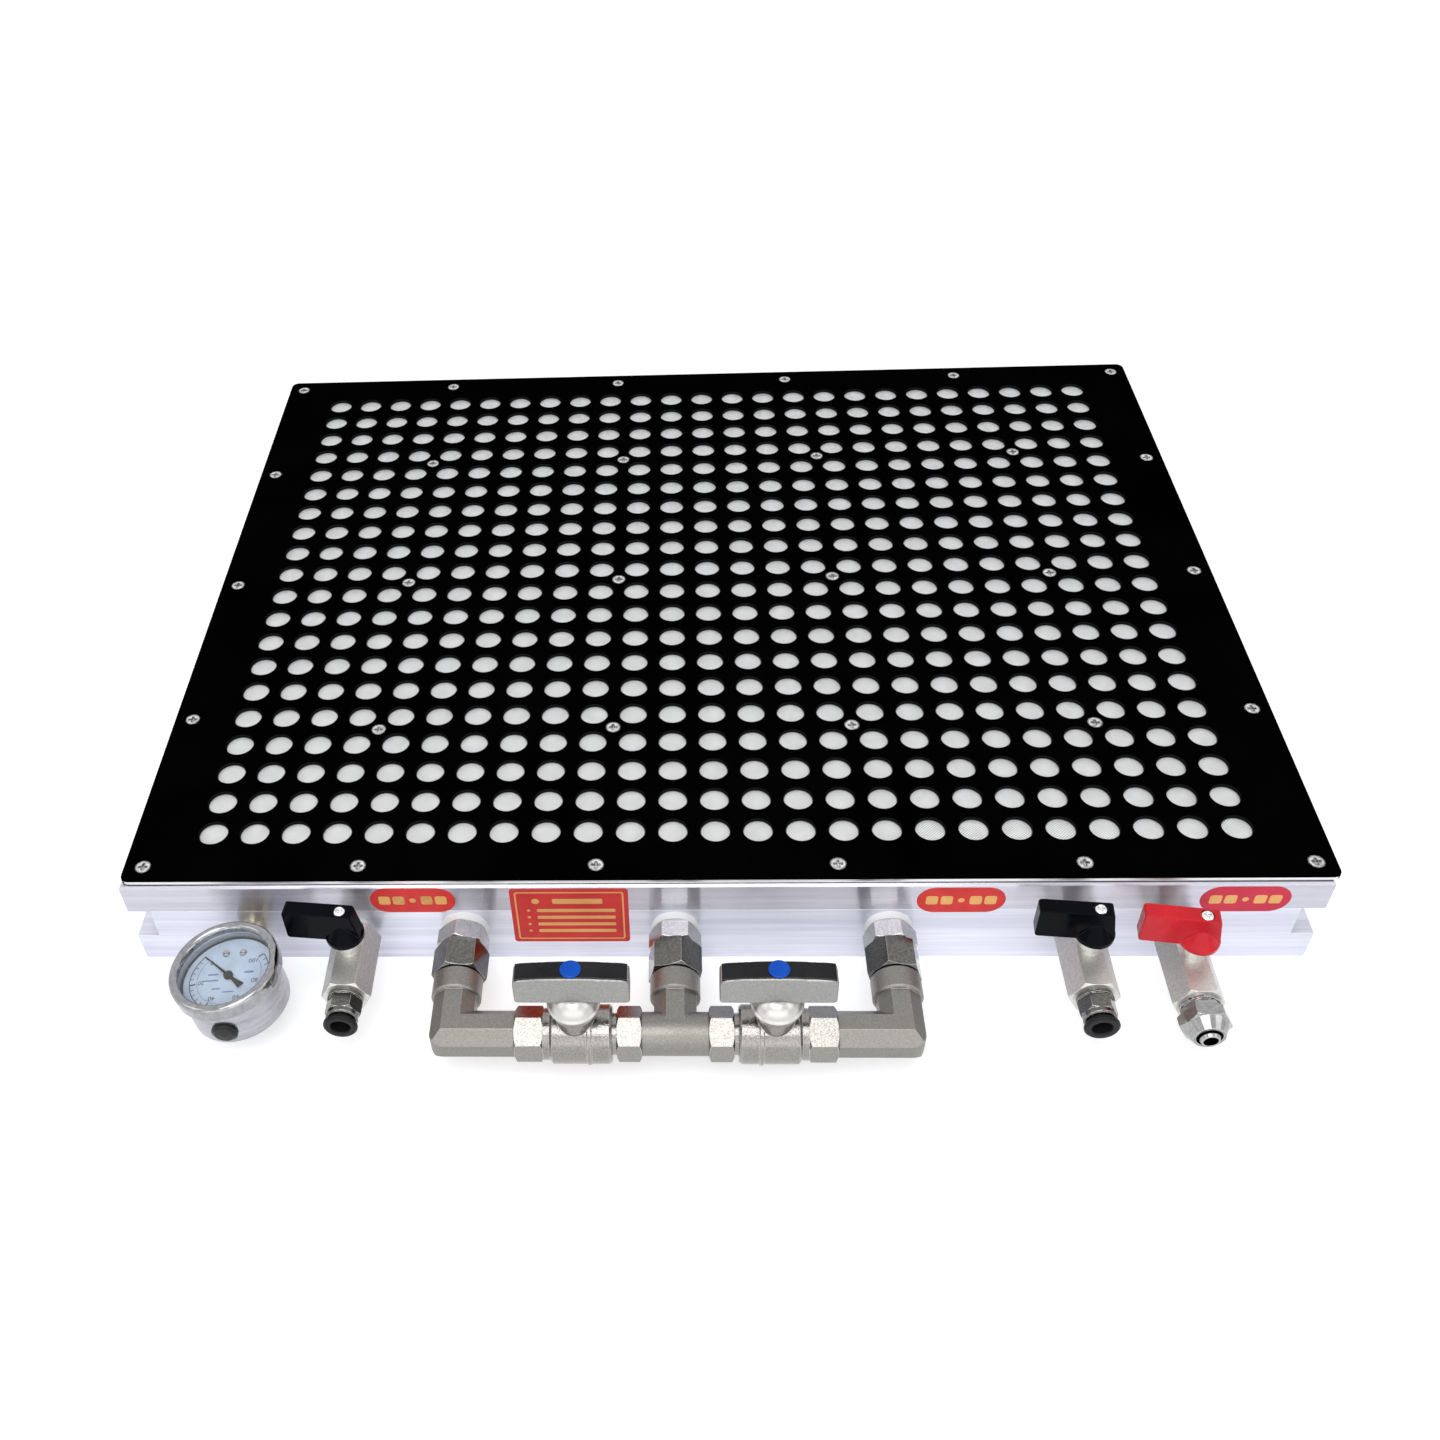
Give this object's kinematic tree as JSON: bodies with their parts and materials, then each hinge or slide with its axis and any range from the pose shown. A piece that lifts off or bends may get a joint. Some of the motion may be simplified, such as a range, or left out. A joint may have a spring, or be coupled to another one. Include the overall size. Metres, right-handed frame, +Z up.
{
  "type": "porous vacuum chuck",
  "caption": "Perforated vacuum table with side clamp slots, and a valve manifold, tube fittings and a vacuum gauge on its front face.",
  "frame": {"origin": "on the base plate's underside, below the middle of the hole grid", "axes": "+X to the right along the front face, +Y away from the front face, +Z up through the table"},
  "size_m": [0.5007, 0.4658, 0.0641],
  "materials": {
    "base_alloy": "fine milled",
    "top_alloy": "polished",
    "panel_metal": "black anodised",
    "mesh_metal": "fine woven",
    "screw_steel": "bright",
    "seal_rubber": "smooth",
    "washer_white": "smooth",
    "union_metal": "nickel plated",
    "leg_steel": "satin cast",
    "valve_nickel": "nickel plated",
    "ball_chrome": "polished",
    "stem_brass": "turned",
    "seat_white": "smooth",
    "handle_silver": "satin",
    "inlay_black": "soft",
    "cap_blue": "gloss",
    "wing_black": "gloss",
    "wing_red": "gloss",
    "release_black": "satin",
    "nut_chrome": "polished",
    "case_steel": "polished",
    "bezel_chrome": "polished",
    "lens_clear": "clear",
    "dial_white": "matt",
    "needle_black": "matt"
  },
  "bodies": {
    "chuck": {"base_plate": "base_alloy", "suction_plate": "top_alloy", "plate_seal": "seal_rubber", "filter_mesh": "mesh_metal", "top_panel": "panel_metal", "panel_screws": "screw_steel", "assembly_screws": "screw_steel", "seal_washers": "washer_white", "union_nipples": "union_metal", "union_nuts": "union_metal", "union_tails": "union_metal", "elbow_left": "leg_steel", "elbow_right": "leg_steel", "tee": "leg_steel", "t_valve_body_left": "valve_nickel", "t_valve_body_right": "valve_nickel", "t_valve_ends": "valve_nickel", "valve_seals": "seat_white", "mini_valve_body_left": "valve_nickel", "mini_valve_body_right": "valve_nickel", "mini_valve_body_vacuum": "valve_nickel", "mini_valve_inserts": "valve_nickel", "push_fitting_left": "valve_nickel", "push_fitting_right": "valve_nickel", "tube_seals": "seal_rubber", "hose_spigot": "valve_nickel", "hose_nut": "nut_chrome", "gauge_case": "case_steel", "gauge_bezel": "bezel_chrome", "gauge_lens": "lens_clear", "gauge_dial": "dial_white", "gauge_movement": "stem_brass", "gauge_fill_plug": "seal_rubber"},
    "t_valve_left": {"t_handle_left": "handle_silver", "t_handle_inlay_left": "inlay_black", "t_handle_cap_left": "cap_blue", "t_handle_screw_left": "screw_steel", "t_valve_stem_left": "stem_brass", "t_valve_ball_left": "ball_chrome"},
    "t_valve_right": {"t_handle_right": "handle_silver", "t_handle_inlay_right": "inlay_black", "t_handle_cap_right": "cap_blue", "t_handle_screw_right": "screw_steel", "t_valve_stem_right": "stem_brass", "t_valve_ball_right": "ball_chrome"},
    "mini_valve_left": {"wing_handle_left": "wing_black", "wing_handle_screw_left": "screw_steel", "mini_valve_stem_left": "stem_brass", "mini_valve_ball_left": "ball_chrome"},
    "mini_valve_right": {"wing_handle_right": "wing_black", "wing_handle_screw_right": "screw_steel", "mini_valve_stem_right": "stem_brass", "mini_valve_ball_right": "ball_chrome"},
    "mini_valve_vacuum": {"wing_handle_vacuum": "wing_red", "wing_handle_screw_vacuum": "screw_steel", "mini_valve_stem_vacuum": "stem_brass", "mini_valve_ball_vacuum": "ball_chrome"},
    "needle": {"gauge_needle": "needle_black"},
    "release_left": {"release_ring_left": "release_black"},
    "release_right": {"release_ring_right": "release_black"}
  },
  "joints": [
    {"name": "t_valve_left_turn", "type": "hinge", "parent": "chuck", "child": "t_valve_left", "pos_m": [-0.0568, -0.2536, 0.021], "axis": [0, 0, 1], "range_deg": [-90, 0]},
    {"name": "t_valve_right_turn", "type": "hinge", "parent": "chuck", "child": "t_valve_right", "pos_m": [0.0218, -0.2536, 0.021], "axis": [0, 0, 1], "range_deg": [-90, 0]},
    {"name": "mini_valve_left_turn", "type": "hinge", "parent": "chuck", "child": "mini_valve_left", "pos_m": [-0.1525, -0.2183, 0.021], "axis": [0, 0, 1], "range_deg": [0, 95]},
    {"name": "mini_valve_right_turn", "type": "hinge", "parent": "chuck", "child": "mini_valve_right", "pos_m": [0.1495, -0.2183, 0.021], "axis": [0, 0, 1], "range_deg": [0, 95]},
    {"name": "mini_valve_vacuum_turn", "type": "hinge", "parent": "chuck", "child": "mini_valve_vacuum", "pos_m": [0.1895, -0.2216, 0.021], "axis": [0, 0, 1], "range_deg": [0, 97.5]},
    {"name": "needle_turn", "type": "hinge", "parent": "chuck", "child": "needle", "pos_m": [-0.1992, -0.2322, 0.021], "axis": [-0.1045, 0, 0.9945], "range_deg": [0, 260]},
    {"name": "release_left_push", "type": "slide", "parent": "chuck", "child": "release_left", "axis": [0, 1, 0], "range_m": [0, 0.0015]},
    {"name": "release_right_push", "type": "slide", "parent": "chuck", "child": "release_right", "axis": [0, 1, 0], "range_m": [0, 0.0015]}
  ]
}
